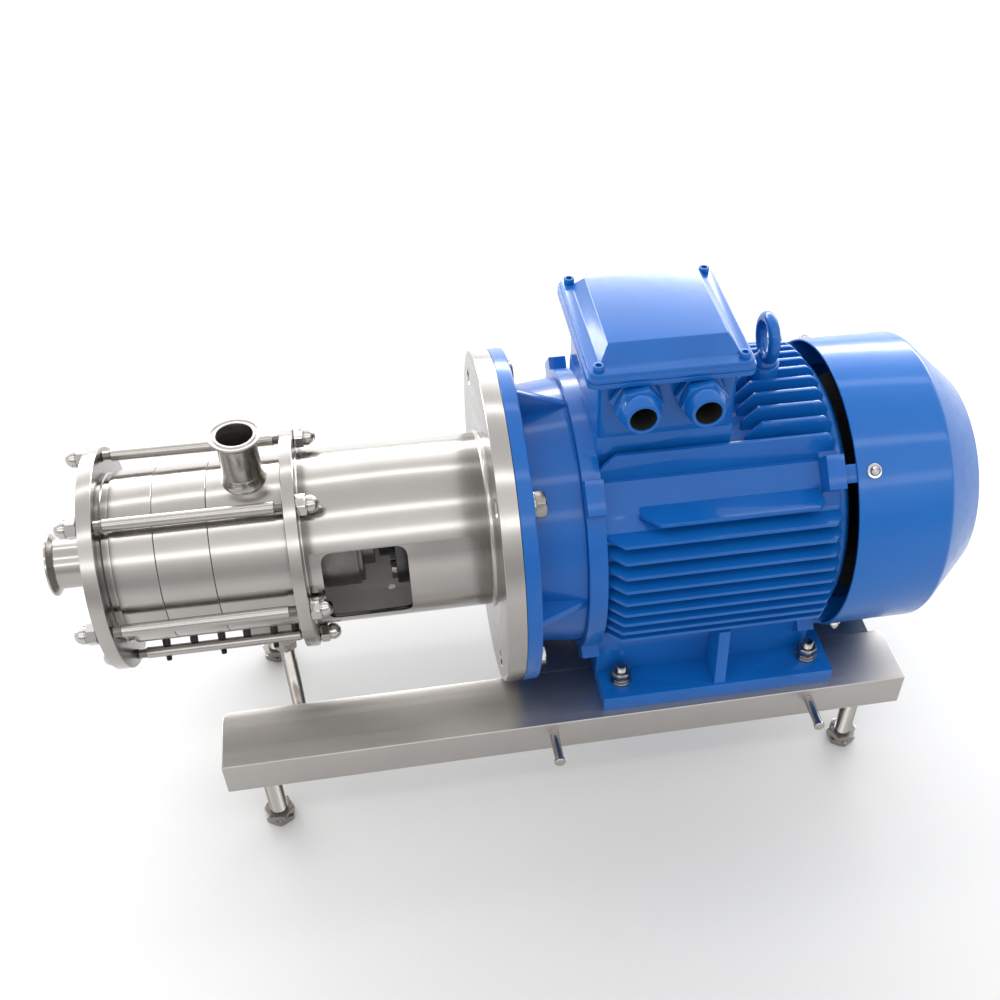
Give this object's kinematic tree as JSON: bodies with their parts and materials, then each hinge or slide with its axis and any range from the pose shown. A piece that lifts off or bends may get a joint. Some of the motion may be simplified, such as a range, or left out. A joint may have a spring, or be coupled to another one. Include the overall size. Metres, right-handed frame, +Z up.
{
  "type": "high shear emulsifying pump",
  "caption": "In-line high shear emulsifying pump: stainless pump head and lantern on a blue finned flange motor, on a base of two rails with levelling feet.",
  "frame": {"origin": "middle of the footprint at floor level", "axes": "+X along the shaft from the inlet to the fan end, +Z up"},
  "size_m": [0.943, 0.405, 0.553],
  "materials": {
    "stainless": "satin",
    "bright_steel": "polished",
    "blue_paint": "semi-gloss",
    "coupling_iron": "turned",
    "locating_dark": "matt",
    "seal_carbon": "lapped",
    "seal_rubber": "matt",
    "core_steel": "stacked sheet",
    "copper": "varnished",
    "fan_plastic": "matt",
    "board_plastic": "matt"
  },
  "bodies": {
    "stand": {"base_rail_front": "stainless", "base_rail_rear": "stainless", "cross_members": "stainless", "hood_pins": "stainless", "inlet_plate": "stainless", "rear_plate": "stainless", "stage_housing_1": "stainless", "stage_housing_2": "stainless", "discharge_casing": "stainless", "lantern_tube": "stainless", "adapter_flange": "stainless", "pump_support": "stainless", "seal_housing": "stainless", "inlet_pipe": "stainless", "outlet_pipe": "stainless", "support_lock_nut": "bright_steel", "tie_rods": "bright_steel", "dome_nuts": "bright_steel", "foot_bolts": "bright_steel", "foot_nuts": "bright_steel", "flange_bolts": "bright_steel", "stator_1": "bright_steel", "stator_2": "bright_steel", "stator_3": "bright_steel", "fan_cover_screws": "bright_steel", "bearing_outer_rings": "bright_steel", "motor_frame": "blue_paint", "drive_end_shield": "blue_paint", "rear_end_shield": "blue_paint", "fan_cover": "blue_paint", "terminal_box": "blue_paint", "terminal_lid": "blue_paint", "lid_screws": "blue_paint", "eyebolt": "blue_paint", "cable_glands": "blue_paint", "locating_screws": "locating_dark", "seal_seat": "seal_carbon", "casing_seals": "seal_rubber", "stator_core": "core_steel", "windings": "copper", "terminal_board": "board_plastic"},
    "rotating_set": {"motor_shaft": "bright_steel", "rotor_core": "core_steel", "bearing_inner_rings": "bright_steel", "cooling_fan": "fan_plastic", "coupling_halves": "coupling_iron", "coupling_bolts": "bright_steel", "pump_shaft": "bright_steel", "rotor_1": "bright_steel", "rotor_2": "bright_steel", "rotor_3": "bright_steel", "rotor_spacers": "bright_steel", "rotor_lock_nut": "bright_steel", "seal_rotating_ring": "seal_carbon"},
    "levelling_foot_1_body": {"levelling_foot_1": "bright_steel"},
    "levelling_foot_2_body": {"levelling_foot_2": "bright_steel"},
    "levelling_foot_3_body": {"levelling_foot_3": "bright_steel"},
    "levelling_foot_4_body": {"levelling_foot_4": "bright_steel"},
    "support_foot_body": {"support_foot": "bright_steel"}
  },
  "joints": [
    {"name": "rotor_spin", "type": "hinge", "parent": "stand", "child": "rotating_set", "pos_m": [-0.0135, 0, 0.308], "axis": [1, 0, 0], "continuous": true},
    {"name": "levelling_foot_1_height", "type": "slide", "parent": "stand", "child": "levelling_foot_1_body", "axis": [0, 0, 1], "range_m": [-0.01, 0.012]},
    {"name": "levelling_foot_2_height", "type": "slide", "parent": "stand", "child": "levelling_foot_2_body", "axis": [0, 0, 1], "range_m": [-0.01, 0.012]},
    {"name": "levelling_foot_3_height", "type": "slide", "parent": "stand", "child": "levelling_foot_3_body", "axis": [0, 0, 1], "range_m": [-0.01, 0.012]},
    {"name": "levelling_foot_4_height", "type": "slide", "parent": "stand", "child": "levelling_foot_4_body", "axis": [0, 0, 1], "range_m": [-0.01, 0.012]},
    {"name": "support_foot_height", "type": "slide", "parent": "stand", "child": "support_foot_body", "axis": [0, 0, 1], "range_m": [-0.01, 0.012]}
  ]
}
